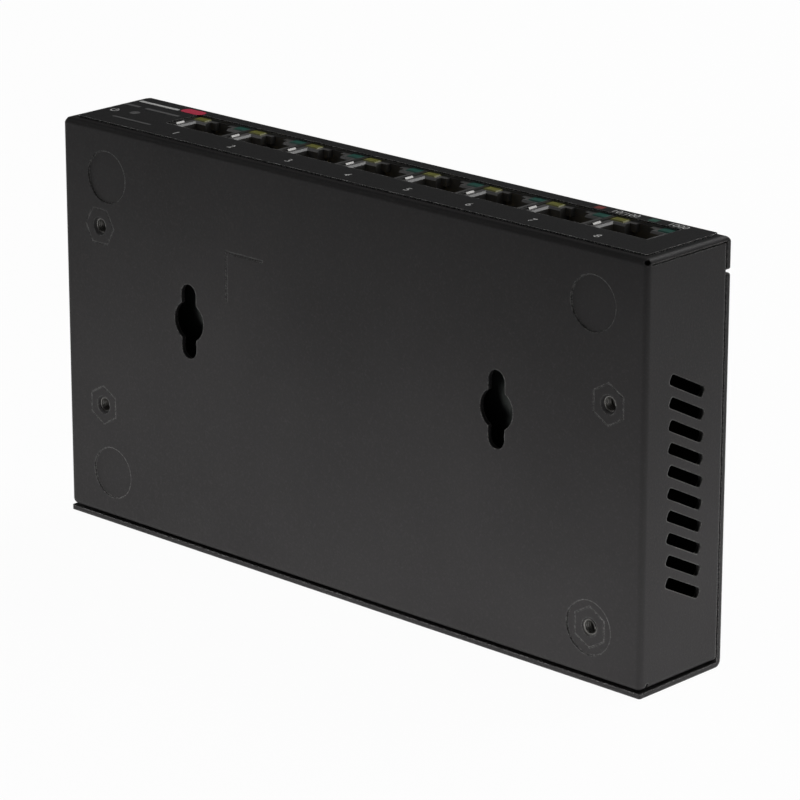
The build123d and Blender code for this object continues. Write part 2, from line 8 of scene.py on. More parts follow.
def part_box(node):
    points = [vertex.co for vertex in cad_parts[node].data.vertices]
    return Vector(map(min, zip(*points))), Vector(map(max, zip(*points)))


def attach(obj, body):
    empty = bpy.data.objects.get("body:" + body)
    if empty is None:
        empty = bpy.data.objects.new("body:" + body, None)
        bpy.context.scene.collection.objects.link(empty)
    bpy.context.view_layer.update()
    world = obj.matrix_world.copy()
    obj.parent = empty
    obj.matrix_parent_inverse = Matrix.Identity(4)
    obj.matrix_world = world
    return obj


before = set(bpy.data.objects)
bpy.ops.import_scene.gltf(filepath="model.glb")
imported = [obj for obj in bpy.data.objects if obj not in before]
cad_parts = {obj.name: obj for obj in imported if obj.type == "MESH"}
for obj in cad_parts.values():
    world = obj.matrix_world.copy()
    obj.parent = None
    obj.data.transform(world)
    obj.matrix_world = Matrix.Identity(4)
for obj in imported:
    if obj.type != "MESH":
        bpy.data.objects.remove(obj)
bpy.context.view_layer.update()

bl_info = {
    "name": "Ethernet switch",
    "version": (1, 0, 0),
    "blender": (4, 5, 0),
    "location": "3D View > Sidebar > Switch",
    "description": "Finishes, printed marks, threads and leads of an eight-port ethernet switch",
    "category": "Object",
}

MM = 0.001
BODY = "root"

# The switch stands on its rear wall, so its underside faces -Y and its front panel up.
# Heights on the panel are given from the underside, as on a drawing of the case lying flat.
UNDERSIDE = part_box("base_tray")[0].y
FILM_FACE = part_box("front_film")[1].z

PORTS = range(1, 9)

# Depths in the standoffs from the underside, and how softly and unevenly the paint ends
THREAD_START = 0.5 * MM
BARE_DEPTH = 0.6 * MM
PAINT_FADE = 0.15 * MM
PAINT_RAG = 0.25 * MM

# Packages on the board
CHIP_PITCH = 0.4 * MM
MODULE_PITCH = 1.0 * MM
MODULE_WIDTH = 15.0 * MM
MODULES = 4
LEAD_BITE = 0.02 * MM

# Where the dark parts of a capacitor's can end, each as the two ends of a short fade
CAN_TOP = (0.05 * MM, 0.02 * MM)
CAN_BASE = (1.02 * MM, 0.98 * MM)
CAN_MARK = (2.4 * MM, 2.3 * MM)

# Marks that stand by no port: right of the middle and above the underside, millimetres
BADGE_PLACE = (-61.2, 20.5)
NAME_BAR_PLACE = (-70.4, 19.5)
POWER_RING_PLACE = (-74.5, 10.6)
POWER_STEM_PLACE = (-74.5, 11.3)
RED_KEY_X = 49.2
SLOW_SPEED_X = 55.85
GREEN_KEY_X = 62.6
FAST_SPEED_X = 68.8

# Plain marks: width, height and rounding in millimetres
BADGE = (6.2, 2.9, 1.3)
NAME_BAR = (11.7, 1.0, 0.3)
POWER_STEM = (0.28, 1.05, 0.1)
GREY_MARKS = (
    ((4.5, 1.0, 0.2), (-74.6, 15.8)),
    ((10.0, 1.0, 0.2), (-65.6, 15.8)),
    ((11.3, 0.7, 0.2), (-65.5, 6.9)),
    ((2.2, 2.2, 1.05), (-69.6, 11.7)),
)
KEY_WIDTH = 2.0 * MM
KEY_ROUND = 0.1 * MM
RING_RADIUS = 0.85 * MM
RING_WIDTH = 0.28 * MM
RING_DEGREES = (125, 415)
FILM_EDGE = 0.22 * MM

# Colours of the parts that have no settings of their own
ZINC = (0.42, 0.41, 0.39)
BLACK_OXIDE = (0.035, 0.035, 0.037)
NICKEL = (0.63, 0.61, 0.57)
TIN = (0.66, 0.66, 0.64)
ALUMINIUM = (0.72, 0.73, 0.74)
CAN = (0.70, 0.71, 0.72)
CAN_DARK = (0.02, 0.02, 0.022)
PACKAGE = (0.018, 0.018, 0.019)
FERRITE = (0.05, 0.05, 0.053)
SOLDER_MASK = (0.026, 0.028, 0.027)
MASKED_COPPER = (0.035, 0.038, 0.036)
LAMINATE = (0.20, 0.17, 0.08)
INLET = (0.015, 0.015, 0.0155)
LAMP_HOLDER = (0.02, 0.02, 0.021)
CLEAR_LENS = (0.72, 0.76, 0.74)

# Stage
FLOOR_REACH = 4.0
FLOOR_DROP = 0.1 * MM
HORIZON = (0.02, 0.12)
LAMP_AIM = (0, 0, 0.05)
STRIP_HEIGHT = 0.03
STRIP_SPREAD = 36

# The photograph's camera, fitted to the edges of the case: millimetres and degrees
CAMERA_PLACE = (544.14, -572.36, 294.08)
CAMERA_TURN = (72.1031, -0.0423, 43.2656)
SENSOR_WIDTH = 36.0
NEAR_CLIP = 0.01


# Settings


def length(name, description, default_mm, low_mm=0.0, high_mm=200.0):
    """Length property, given in millimetres and kept in metres."""
    return bpy.props.FloatProperty(
        name=name,
        description=description,
        default=default_mm * MM,
        min=low_mm * MM,
        max=high_mm * MM,
        subtype="DISTANCE",
        unit="LENGTH",
        precision=5,
    )


def share(name, description, default, high=1.0):
    """Plain factor from zero up."""
    return bpy.props.FloatProperty(
        name=name, description=description, default=default, min=0.0, max=high, subtype="FACTOR"
    )


def colour(name, description, red, green, blue):
    """Linear colour."""
    return bpy.props.FloatVectorProperty(
        name=name,
        description=description,
        default=(red, green, blue),
        size=3,
        min=0.0,
        max=1.0,
        subtype="COLOR",
    )


def count(name, description, default, high):
    """Whole number of leads."""
    return bpy.props.IntProperty(
        name=name, description=description, default=default, min=2, max=high
    )


def power(name, description, default):
    """Power of one lamp."""
    return bpy.props.FloatProperty(
        name=name, description=description, default=default, unit="POWER"
    )


class CaseSettings(bpy.types.PropertyGroup):
    """Powder coat on the sheet metal."""

    paint: colour("Paint", "Colour of the powder coat", 0.0205, 0.0196, 0.0198)
    # Light colour put on sharp edges: partly thin coat, partly a painted highlight that stands in for
    # edge glints.
    worn: colour("Thin paint", "Colour where the coat is thin over an edge", 0.15, 0.148, 0.145)
    shine: share("Shine", "Strength of the coat's reflections", 0.12)
    roughness: share("Roughness", "Roughness of the powder coat", 0.5)
    pebble: length("Pebble", "Width of one bump of the powder coat", 0.42, 0.05, 3)
    peel: length("Peel", "Width of the slow waves under the bumps", 2.2, 0.2, 10)
    edge: length("Edge", "Width of the soft edge that the coat gives to cut sheet", 0.5, 0.0, 1)


class FilmSettings(bpy.types.PropertyGroup):
    """Printed film on the front panel."""

    ground: colour("Ground", "Colour of the film", 0.0075, 0.0073, 0.0075)
    # The cut edge's light colour is partly the cut film's own pale edge and partly a painted highlight
    # for the glints along it.
    cut: colour("Cut edge", "Colour of the film where it was cut", 0.60, 0.60, 0.59)
    roughness: share("Roughness", "Roughness of the film", 0.42)
    white: colour("White ink", "Colour of the numbers", 0.62, 0.62, 0.61)
    grey: colour("Grey ink", "Colour of the fine lines", 0.10, 0.10, 0.10)
    red: colour("Red ink", "Colour of the plain badge", 0.62, 0.028, 0.08)
    red_key: colour("Red key", "Colour of the slow speed square", 0.22, 0.03, 0.025)
    green_key: colour("Green key", "Colour of the fast speed square", 0.012, 0.09, 0.06)
    lift: length("Ink", "Thickness of the printed ink", 0.015, 0.001, 0.1)
    number_height: length("Number height", "Height of the port numbers", 1.9, 0.5, 6)
    number_level: length("Number level", "Middle of the port numbers above the underside", 5.8)
    number_shift: length("Number shift", "How far a number stands left of its port's middle", 0.35)
    key_height: length("Key height", "Height of the speed numbers", 1.7, 0.5, 6)
    key_level: length("Key level", "Middle of the speed numbers above the underside", 21.3)


class JackSettings(bpy.types.PropertyGroup):
    """Shields, housings, contacts and lamps of the port row."""

    shield: colour("Shield", "Colour of the tinned spring steel", 0.19, 0.187, 0.182)
    housing: colour("Housing", "Colour of the moulding", 0.08, 0.079, 0.077)
    contact: colour("Contact", "Colour of the gold flash", 0.80, 0.60, 0.25)
    yellow: colour("Yellow lamp", "Colour of the left lamps", 0.21, 0.21, 0.045)
    green: colour("Green lamp", "Colour of the right lamps", 0.02, 0.11, 0.085)


class ThreadSettings(bpy.types.PropertyGroup):
    """Threads cut in the standoffs."""

    pitch: length("Pitch", "Distance between two turns", 0.5, 0.1, 2)
    radius: length("Radius", "Distance of the ridge from the middle of the hole", 1.46, 0.2, 5)
    ridge: length("Ridge", "Size of the ridge", 0.2, 0.02, 1)
    turns: bpy.props.FloatProperty(
        name="Turns", description="Turns of thread that show", default=3.8, min=1.0, max=20.0
    )


class LeadSettings(bpy.types.PropertyGroup):
    """Bent leads of the packages on the board."""

    chip_leads: count("Chip leads", "Leads on each side of the chip", 32, 64)
    module_leads: count("Module leads", "Leads on each long side of a module", 12, 40)
    width: length("Width", "Width of a lead", 0.22, 0.05, 2)
    thickness: length("Thickness", "Thickness of a lead", 0.15, 0.02, 1)
    reach: length("Reach", "How far a lead stands out of its package", 1.0, 0.2, 5)
    rise: length("Rise", "Height at which a lead leaves its package", 0.5, 0.1, 3)


class StageSettings(bpy.types.PropertyGroup):
    """Floor, lamps, world and camera."""

    floor: colour("Floor", "Colour of the floor", 0.82, 0.82, 0.82)
    backdrop: share("Backdrop", "Share of plain white that the camera sees in the floor", 0.97)
    ambient: share("Ambient", "Light from all round", 0.04, 3.0)
    ceiling: share("Ceiling", "Brightness of the upper half of the room in reflections", 0.06)
    front: power("Front", "Low strip in front of the underside", 0.18)
    right: power("Right", "Low strip beside the vented side", 0.13)
    back: power("Back", "High softbox behind", 6.8)
    top: power("Top", "Small softbox up on the left", 0.5)
    key: power("Key", "Small lamp up on the right", 0.35)
    focal: bpy.props.FloatProperty(
        name="Focal length", description="Camera focal length", default=186.68, unit="CAMERA"
    )


# Shader nodes


def feed(tree, socket, value):
    """Gives a socket a plain value or a node's output."""
    if isinstance(value, bpy.types.NodeSocket):
        tree.links.new(value, socket)
    else:
        socket.default_value = value


def add_node(tree, kind, inputs, **settings):
    """New node with its settings and inputs."""
    node = tree.nodes.new(kind)
    for key, value in settings.items():
        setattr(node, key, value)
    for key, value in inputs.items():
        feed(tree, node.inputs[key], value)
    return node


class Finish:
    """One material. Its patterns lie on Object coordinates, so sizes are in metres."""

    def __init__(self, name, base, roughness, metallic=0.0):
        self.material = bpy.data.materials.new(name)
        self.material.use_nodes = True
        self.tree = self.material.node_tree
        self.surface = self.tree.nodes["Principled BSDF"]
        self.place = self.tree.nodes.new("ShaderNodeTexCoord").outputs["Object"]
        self.geometry = self.tree.nodes.new("ShaderNodeNewGeometry")
        self.set("Base Color", (*base, 1.0))
        self.set("Roughness", roughness)
        self.set("Metallic", metallic)
        self.material.diffuse_color = (*base, 1.0)

    def set(self, socket, value):
        """Gives a shader socket a plain value or a node's output."""
        feed(self.tree, self.surface.inputs[socket], value)

    def current(self, socket):
        """Output that feeds a shader socket now."""
        return self.surface.inputs[socket].links[0].from_socket

    def add(self, kind, inputs, **settings):
        return add_node(self.tree, kind, inputs, **settings)

    def stretched(self, stretch):
        """Coordinates, divided by a stretch along each axis where there is one."""
        if stretch == (1, 1, 1):
            return self.place
        scale = tuple(1 / amount for amount in stretch)
        return self.add("ShaderNodeMapping", {"Vector": self.place, "Scale": scale}).outputs[0]

    def noise(self, size, detail=2.0, rough=0.5, stretch=(1, 1, 1)):
        vector = self.stretched(stretch)
        inputs = {"Vector": vector, "Scale": 1 / size, "Detail": detail, "Roughness": rough}
        return self.add("ShaderNodeTexNoise", inputs).outputs["Fac"]

    def cells(self, size, stretch=(1, 1, 1)):
        inputs = {"Vector": self.stretched(stretch), "Scale": 1 / size}
        return self.add("ShaderNodeTexVoronoi", inputs).outputs["Distance"]

    def ramp(self, value, low, high, start=0.0, end=1.0):
        """Maps low..high to start..end and stops there."""
        inputs = {0: value, 1: low, 2: high, 3: start, 4: end}
        return self.add("ShaderNodeMapRange", inputs, clamp=True).outputs[0]

    def math(self, operation, first, second=0.0):
        return self.add("ShaderNodeMath", {0: first, 1: second}, operation=operation).outputs[0]

    def mix(self, factor, first, second):
        """Colour between two colours."""
        first = first if isinstance(first, bpy.types.NodeSocket) else (*first, 1.0)
        second = second if isinstance(second, bpy.types.NodeSocket) else (*second, 1.0)
        inputs = {0: factor, 6: first, 7: second}
        return self.add("ShaderNodeMix", inputs, data_type="RGBA").outputs[2]

    def axis(self, vector, letter):
        return self.add("ShaderNodeSeparateXYZ", {0: vector}).outputs[letter]

    def relief(self, height, depth, strength=1.0, normal=None):
        """Bump of a real depth. Several can follow one another through normal."""
        inputs = {"Height": height, "Distance": depth, "Strength": strength}
        if normal is not None:
            inputs["Normal"] = normal
        return self.add("ShaderNodeBump", inputs).outputs[0]

    def soft_edge(self, radius):
        """Normal that runs round a sharp edge within the radius."""
        return self.add("ShaderNodeBevel", {"Radius": radius}, samples=6).outputs[0]

    def near_edge(self, soft):
        """0 on a flat face and 1 on a sharp edge, from a soft edge's normal."""
        inputs = {0: soft, 1: self.geometry.outputs["Normal"]}
        meeting = self.add("ShaderNodeVectorMath", inputs, operation="DOT_PRODUCT").outputs["Value"]
        return self.ramp(meeting, 0.995, 0.8)

    def cover(self, *nodes):
        """Puts the material on CAD nodes."""
        for name in nodes:
            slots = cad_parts[name].data.materials
            slots.clear()
            slots.append(self.material)


def varied(base, factor):
    """A colour made lighter or darker."""
    return tuple(min(1.0, channel * factor) for channel in base)


def powder_coat(name, case):
    """Fine-pebbled powder coat with a thin bright lip where it runs over a cut edge: partly thin coat,
    partly a painted highlight broken into specks.
    """
    finish = Finish(name, case.paint, case.roughness)
    pebble = finish.noise(case.pebble, 3.0, 0.6)
    peel = finish.noise(case.peel, 1.0, 0.4)
    cloud = finish.noise(40 * MM, 2.0, 0.5)
    soft = finish.soft_edge(case.edge)
    edge = finish.near_edge(soft)
    tone = finish.mix(finish.ramp(cloud, 0.3, 0.7), varied(case.paint, 0.88), varied(case.paint, 1.12))
    tone = finish.mix(finish.ramp(pebble, 0.55, 0.8, 0.0, 0.35), tone, varied(case.paint, 2.2))
    # Painted highlight, partly the thin coat's own lighter edge: the edge colour, broken into specks,
    # stands in for glints on the lips.
    glint_speckle = finish.ramp(finish.noise(case.pebble, 2.0, 0.7), 0.42, 0.62, 0.15, 1.0)
    finish.set("Base Color", finish.mix(finish.math("MULTIPLY", edge, glint_speckle), tone, case.worn))
    finish.set("Specular IOR Level", case.shine)
    finish.set("Roughness", finish.ramp(pebble, 0.3, 0.75, case.roughness + 0.06, case.roughness - 0.12))
    normal = finish.relief(peel, 0.02 * MM, 0.6, soft)
    finish.set("Normal", finish.relief(pebble, 0.035 * MM, 0.75, normal))
    return finish


def bare_metal(name, base, roughness, grain, stretch=(1, 1, 1), stain=0.8):
    """Rolled or drawn metal: fine lines along the grain and slow stains."""
    finish = Finish(name, base, roughness, 1.0)
    lines = finish.noise(grain, 3.0, 0.65, stretch)
    cloud = finish.noise(3 * MM, 3.0, 0.6)
    finish.set("Base Color", finish.mix(finish.ramp(cloud, 0.35, 0.7), base, varied(base, stain)))
    finish.set("Roughness", finish.ramp(lines, 0.3, 0.7, roughness - 0.07, roughness + 0.1))
    finish.set("Normal", finish.relief(lines, 0.01 * MM, 0.5))
    return finish


def moulding(name, base, roughness, grain, lift=1.5):
    """Moulded plastic: spark-eroded grain and slightly shinier high spots."""
    finish = Finish(name, base, roughness)
    spark = finish.noise(grain, 4.0, 0.7)
    flow = finish.noise(6 * MM, 1.0, 0.4)
    tone = finish.mix(finish.ramp(flow, 0.3, 0.7), varied(base, 0.85), varied(base, 1.15))
    finish.set("Base Color", finish.mix(finish.ramp(spark, 0.6, 0.85), tone, varied(base, lift)))
    finish.set("Roughness", finish.ramp(spark, 0.35, 0.7, roughness + 0.05, roughness - 0.1))
    finish.set("Normal", finish.relief(spark, 0.012 * MM, 0.6))
    return finish


def lens(name, base, roughness=0.4):
    """Tinted lens with a fine inner haze."""
    finish = Finish(name, base, roughness)
    haze = finish.noise(0.5 * MM, 3.0, 0.6)
    tone = finish.mix(finish.ramp(haze, 0.35, 0.7), varied(base, 0.8), varied(base, 1.25))
    finish.set("Base Color", tone)
    finish.set("Roughness", finish.ramp(haze, 0.3, 0.7, roughness, roughness + 0.1))
    finish.set("Transmission Weight", 0.15)
    finish.set("Specular IOR Level", 0.25)
    finish.set("Normal", finish.relief(haze, 0.01 * MM, 0.3))
    return finish


def ink(name, base):
    """Screen-printed ink: slightly uneven cover."""
    finish = Finish(name, base, 0.5)
    cover = finish.noise(0.25 * MM, 3.0, 0.6)
    finish.set("Base Color", finish.mix(finish.ramp(cover, 0.55, 0.8), base, varied(base, 0.72)))
    finish.set("Roughness", finish.ramp(cover, 0.3, 0.7, 0.42, 0.58))
    finish.set("Normal", finish.relief(cover, 0.006 * MM, 0.5))
    return finish


# Meshes


def put_in_scene(name, data):
    """New object in the scene's own collection."""
    item = bpy.data.objects.new(name, data)
    bpy.context.scene.collection.objects.link(item)
    return item


def extent(points):
    """Lowest and highest coordinate of points along each axis."""
    points = list(points)
    lows = [min(point[axis] for point in points) for axis in range(3)]
    highs = [max(point[axis] for point in points) for axis in range(3)]
    return lows, highs


def add_piece(name, mesh, material):
    """Adds a finished mesh at the origin, riding on the one body."""
    mesh.name = name
    piece = put_in_scene(name, mesh)
    mesh.materials.clear()
    mesh.materials.append(material)
    for face in mesh.polygons:
        face.material_index = 0
    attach(piece, BODY)
    return piece


def panel_place(x_mm, height_mm, lift=0.0):
    """Point on the front film, from millimetres right of the middle and above the underside."""
    return Vector((x_mm * MM, UNDERSIDE + height_mm * MM, FILM_FACE + lift))


def bake_object(source):
    """Plain mesh of an object with its modifiers or its text, and the object removed."""
    graph = bpy.context.evaluated_depsgraph_get()
    mesh = bpy.data.meshes.new_from_object(source.evaluated_get(graph))
    bpy.data.objects.remove(source, do_unlink=True)
    return mesh


def words(text, height):
    """Flat mesh of plain characters, middle at the origin, of one cap height."""
    curve = bpy.data.curves.new("characters", "FONT")
    curve.body = text
    curve.align_x = "CENTER"
    mesh = bake_object(put_in_scene("characters", curve))
    bpy.data.curves.remove(curve)
    lows, highs = extent(vertex.co for vertex in mesh.vertices)
    middle = Vector(((lows[0] + highs[0]) / 2, (lows[1] + highs[1]) / 2, 0))
    mesh.transform(Matrix.Scale(height / (highs[1] - lows[1]), 4) @ Matrix.Translation(-middle))
    return mesh


def flat_shape(points):
    """Flat mesh from an outline that runs anticlockwise."""
    mesh = bpy.data.meshes.new("shape")
    mesh.from_pydata([(x, y, 0) for x, y in points], [], [list(range(len(points)))])
    return mesh


def rounded_bar(width, height, radius, steps=6):
    """Outline of a bar with round corners, middle at the origin."""
    points = []
    for corner, (side, level) in enumerate(((1, 1), (-1, 1), (-1, -1), (1, -1))):
        for step in range(steps + 1):
            angle = (corner + step / steps) * pi / 2
            x = side * (width / 2 - radius) + radius * cos(angle)
            y = level * (height / 2 - radius) + radius * sin(angle)
            points.append((x, y))
    return points


def plain_mark(width_mm, height_mm, radius_mm):
    """Flat mesh of a bar with round corners, from millimetres."""
    return flat_shape(rounded_bar(width_mm * MM, height_mm * MM, radius_mm * MM))


def ring_arc(radius, width, start, end, steps=28):
    """Outline of a part of a ring, in degrees."""
    outer = []
    inner = []
    for step in range(steps + 1):
        angle = radians(start + (end - start) * step / steps)
        outer.append(((radius + width / 2) * cos(angle), (radius + width / 2) * sin(angle)))
        inner.append(((radius - width / 2) * cos(angle), (radius - width / 2) * sin(angle)))
    return outer + inner[::-1]


def joined(placed):
    """One mesh from flat meshes, each with the point where its middle goes."""
    work = bmesh.new()
    for mesh, place in placed:
        before = len(work.verts)
        work.from_mesh(mesh)
        work.verts.ensure_lookup_table()
        for vertex in work.verts[before:]:
            vertex.co += place
        bpy.data.meshes.remove(mesh)
    bmesh.ops.triangulate(work, faces=work.faces)
    for face in work.faces:
        face.normal_update()
        if face.normal.z < 0:
            face.normal_flip()
    result = bpy.data.meshes.new("joined")
    work.to_mesh(result)
    work.free()
    return result


# Geometry nodes


class Growth:
    """A geometry node tree that puts a shape on every point of a carrier."""

    def __init__(self, name, values):
        self.tree = bpy.data.node_groups.new(name, "GeometryNodeTree")
        self.interface = self.tree.interface
        self.values = values
        self.interface.new_socket("Points", in_out="INPUT", socket_type="NodeSocketGeometry")
        for label, value in values.items():
            socket = self.interface.new_socket(label, in_out="INPUT", socket_type="NodeSocketFloat")
            socket.default_value = value
        self.interface.new_socket("Result", in_out="OUTPUT", socket_type="NodeSocketGeometry")
        self.source = self.tree.nodes.new("NodeGroupInput")
        self.result = self.tree.nodes.new("NodeGroupOutput")

    def add(self, kind, inputs, **settings):
        return add_node(self.tree, kind, inputs, **settings)

    def size(self, label):
        return self.source.outputs[label]

    def end(self, shape, rotation, material):
        """Instances on the points, made real and given the material."""
        spread = self.add(
            "GeometryNodeInstanceOnPoints",
            {"Points": self.source.outputs["Points"], "Instance": shape, "Rotation": rotation},
        )
        real = self.add("GeometryNodeRealizeInstances", {"Geometry": spread.outputs[0]})
        inputs = {"Geometry": real.outputs[0], "Material": material}
        painted = self.add("GeometryNodeSetMaterial", inputs)
        self.tree.links.new(painted.outputs[0], self.result.inputs["Result"])

    def grow(self, name, points, turns=None):
        """Plain mesh of the tree's result on points, with an angle for each where given."""
        carrier = bpy.data.meshes.new(name + "_points")
        carrier.from_pydata([tuple(point) for point in points], [], [])
        if turns is not None:
            angles = carrier.attributes.new("turn", "FLOAT", "POINT")
            angles.data.foreach_set("value", turns)
        source = put_in_scene(name + "_points", carrier)
        modifier = source.modifiers.new("growth", "NODES")
        modifier.node_group = self.tree
        inputs = [item for item in self.interface.items_tree if item.in_out == "INPUT"]
        sockets = {item.name: item.identifier for item in inputs}
        for label, value in self.values.items():
            modifier[sockets[label]] = value
        mesh = bake_object(source)
        bpy.data.meshes.remove(carrier)
        return mesh


def thread_tree(threads, material):
    """A helical ridge round each point, running along Y."""
    values = {
        "Pitch": threads.pitch,
        "Radius": threads.radius,
        "Ridge": threads.ridge,
        "Turns": threads.turns,
    }
    growth = Growth("standoff_thread", values)
    factors = {0: growth.size("Pitch"), 1: growth.size("Turns")}
    rise = growth.add("ShaderNodeMath", factors, operation="MULTIPLY")
    path = growth.add(
        "GeometryNodeCurveSpiral",
        {
            "Resolution": 28,
            "Rotations": growth.size("Turns"),
            "Start Radius": growth.size("Radius"),
            "End Radius": growth.size("Radius"),
            "Height": rise.outputs[0],
        },
    )
    section = growth.add(
        "GeometryNodeCurvePrimitiveCircle",
        {"Resolution": 4, "Radius": growth.size("Ridge")},
        mode="RADIUS",
    )
    ridge = growth.add(
        "GeometryNodeCurveToMesh",
        {"Curve": path.outputs[0], "Profile Curve": section.outputs[0], "Fill Caps": True},
    )
    growth.end(ridge.outputs[0], Euler((radians(-90), 0, 0)), material)
    return growth


def lead_tree(leads, material):
    """A bent lead at each point: shoulder, riser and foot, turned about Y."""
    values = {
        "Width": leads.width,
        "Thickness": leads.thickness,
        "Reach": leads.reach,
        "Rise": leads.rise,
    }
    growth = Growth("package_lead", values)

    def scaled(value, factor):
        return growth.add("ShaderNodeMath", {0: value, 1: factor}, operation="MULTIPLY").outputs[0]

    def block(size, place):
        sizes = growth.add("ShaderNodeCombineXYZ", dict(zip("XYZ", size)))
        cube = growth.add("GeometryNodeMeshCube", {"Size": sizes.outputs[0]})
        where = growth.add("ShaderNodeCombineXYZ", dict(zip("XYZ", place)))
        moved = growth.add(
            "GeometryNodeTransform",
            {"Geometry": cube.outputs[0], "Translation": where.outputs[0]},
        )
        return moved.outputs[0]

    width = growth.size("Width")
    thickness = growth.size("Thickness")
    reach = growth.size("Reach")
    rise = growth.size("Rise")
    half = scaled(thickness, 0.5)
    middle = scaled(reach, 0.5)
    shoulder = block((width, thickness, middle), (0.0, rise, scaled(reach, 0.25)))
    riser = block((width, rise, thickness), (0.0, scaled(rise, 0.5), middle))
    foot = block((width, thickness, middle), (0.0, half, scaled(reach, 0.75)))
    whole = growth.add("GeometryNodeJoinGeometry", {})
    for part in (shoulder, riser, foot):
        growth.tree.links.new(part, whole.inputs[0])
    turn = growth.add("GeometryNodeInputNamedAttribute", {"Name": "turn"}, data_type="FLOAT")
    angle = growth.add("ShaderNodeCombineXYZ", {"Y": turn.outputs[0]})
    growth.end(whole.outputs[0], angle.outputs[0], material)
    return growth


# Operators


class SWITCH_OT_case(bpy.types.Operator):
    """Powder-coat the tray and the cover"""

    bl_idname = "ethernet_switch.case"
    bl_label = "Case"

    def execute(self, context):
        powder_coat("powder_coat", context.scene.switch_case).cover("base_tray", "top_cover")
        return {"FINISHED"}


class SWITCH_OT_fasteners(bpy.types.Operator):
    """Finish the screws and standoffs and cut the standoffs' threads"""

    bl_idname = "ethernet_switch.fasteners"
    bl_label = "Fasteners"

    def execute(self, context):
        zinc = bare_metal("zinc_plate", ZINC, 0.34, 0.12 * MM, (1, 6, 1))
        zinc.cover("board_screws")
        self.paint_standoffs(context.scene.switch_case)
        black = bare_metal("black_oxide", BLACK_OXIDE, 0.32, 0.15 * MM)
        black.cover("cover_screws")
        # Threads in zinc darkened to 0.6, a painted shade for the inside of the holes.
        shaded_zinc = bare_metal("thread_zinc", varied(ZINC, 0.6), 0.26, 0.1 * MM)
        self.cut_threads(context.scene.switch_threads, shaded_zinc.material)
        return {"FINISHED"}

    def paint_standoffs(self, case):
        """Powder coat that ends raggedly a little way into each hole."""
        painted = powder_coat("standoff_paint", case)
        height = painted.axis(painted.place, "Y")
        deep = UNDERSIDE + BARE_DEPTH
        ragged = painted.math("MULTIPLY", painted.noise(0.3 * MM), PAINT_RAG)
        bare = painted.ramp(painted.math("SUBTRACT", height, ragged), deep - PAINT_FADE, deep)
        coat = painted.current("Base Color")
        painted.set("Base Color", painted.mix(bare, coat, varied(ZINC, 0.5)))
        painted.set("Metallic", bare)
        painted.cover("board_standoffs")

    def cut_threads(self, threads, material):
        """A thread in each standoff, on the axis of the screw that sits in it."""
        places = []
        for low, high in self.screw_boxes():
            middle = (low + high) / 2
            places.append((middle.x, UNDERSIDE + THREAD_START, middle.z))
        mesh = thread_tree(threads, material).grow("standoff_threads", places)
        add_piece("standoff_threads", mesh, material)

    def screw_boxes(self):
        """Box of each board screw. The screws share a node, so they are told apart by mesh."""
        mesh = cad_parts["board_screws"].data
        work = bmesh.new()
        work.from_mesh(mesh)
        bmesh.ops.remove_doubles(work, verts=work.verts, dist=0.001 * MM)
        left = set(work.verts)
        boxes = []
        while left:
            island = set()
            front = [left.pop()]
            while front:
                vertex = front.pop()
                island.add(vertex)
                for edge in vertex.link_edges:
                    other = edge.other_vert(vertex)
                    if other in left:
                        left.remove(other)
                        front.append(other)
            lows, highs = extent(vertex.co for vertex in island)
            boxes.append((Vector(lows), Vector(highs)))
        work.free()
        return sorted(boxes, key=lambda box: (round(box[0].x, 4), round(box[0].z, 4)))


